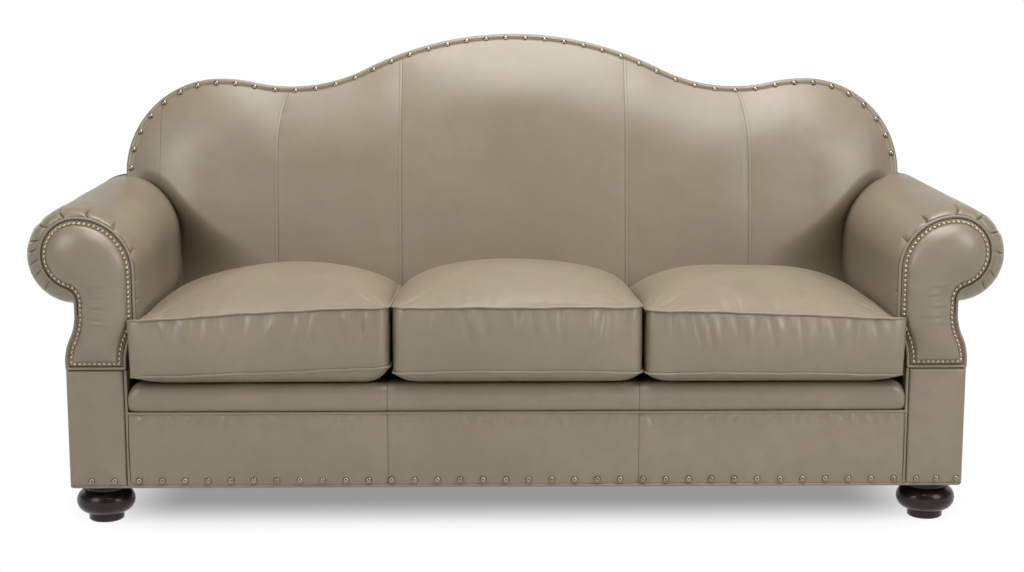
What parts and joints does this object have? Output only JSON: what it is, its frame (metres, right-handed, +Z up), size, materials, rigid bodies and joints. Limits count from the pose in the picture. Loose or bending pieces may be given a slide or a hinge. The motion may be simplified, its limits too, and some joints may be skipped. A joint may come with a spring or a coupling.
{
  "type": "sofa",
  "caption": "Camel-back leather sofa with scrolled rolled arms, nail trim, a padded tight back, loose box seat cushions and turned bun feet.",
  "frame": {"origin": "on the floor under the centre of the bounding box", "axes": "+X along the sofa's width towards its right arm as seen from the front, -Y towards the front, +Z up"},
  "size_m": [2.15, 0.8136, 1.0634],
  "materials": {
    "leather": "smooth taupe leather with a soft sheen",
    "cushion_leather": "smooth taupe leather with a soft sheen",
    "welt_leather": "leather-covered cord",
    "padding": "polyether foam with wadding",
    "cloth": "woven cloth",
    "frame_timber": "planed hardwood",
    "foot_timber": "dark espresso gloss",
    "nail_brass": "antique brass",
    "spring_steel": "bare steel"
  },
  "bodies": {
    "sofa_frame": {"front_rail": "frame_timber", "rear_rail": "frame_timber", "cross_rails": "frame_timber", "corner_blocks": "frame_timber", "back_tack_rail": "frame_timber", "crest_rail": "frame_timber", "back_uprights": "frame_timber", "back_webbing": "cloth", "seat_springs": "spring_steel", "spring_clips": "spring_steel", "spring_cover": "cloth", "seat_deck": "padding", "back_cover": "leather", "back_padding": "padding", "back_border": "leather", "outside_back": "leather", "back_nails": "nail_brass", "front_nosing": "leather", "nosing_welt": "welt_leather", "front_panel": "leather", "base_nails": "nail_brass", "base_welts": "welt_leather", "dust_cover": "cloth", "foot_bolts": "spring_steel", "left_side_rail": "frame_timber", "right_side_rail": "frame_timber", "left_back_post": "frame_timber", "right_back_post": "frame_timber", "left_arm_stump": "frame_timber", "right_arm_stump": "frame_timber", "left_arm_rail": "frame_timber", "right_arm_rail": "frame_timber", "left_arm_padding": "padding", "right_arm_padding": "padding", "left_arm_cover": "leather", "right_arm_cover": "leather", "left_outer_arm_panel": "leather", "right_outer_arm_panel": "leather", "left_arm_facing": "leather", "right_arm_facing": "leather", "left_facing_welt": "welt_leather", "right_facing_welt": "welt_leather", "left_arm_nails": "nail_brass", "right_arm_nails": "nail_brass", "left_post_panel": "leather", "right_post_panel": "leather", "front_left_foot": "foot_timber", "front_right_foot": "foot_timber", "rear_left_foot": "foot_timber", "rear_right_foot": "foot_timber"},
    "left_cushion": {"left_cushion_cover": "cushion_leather", "left_cushion_core": "padding", "left_cushion_welts": "welt_leather"},
    "centre_cushion": {"centre_cushion_cover": "cushion_leather", "centre_cushion_core": "padding", "centre_cushion_welts": "welt_leather"},
    "right_cushion": {"right_cushion_cover": "cushion_leather", "right_cushion_core": "padding", "right_cushion_welts": "welt_leather"}
  },
  "joints": [
    {"name": "left_cushion_pull", "type": "slide", "parent": "sofa_frame", "child": "left_cushion", "axis": [0, -0.9994, 0.0349], "range_m": [0, 0.6]},
    {"name": "centre_cushion_pull", "type": "slide", "parent": "sofa_frame", "child": "centre_cushion", "axis": [0, -0.9994, 0.0349], "range_m": [0, 0.6]},
    {"name": "right_cushion_pull", "type": "slide", "parent": "sofa_frame", "child": "right_cushion", "axis": [0, -0.9994, 0.0349], "range_m": [0, 0.6]}
  ]
}
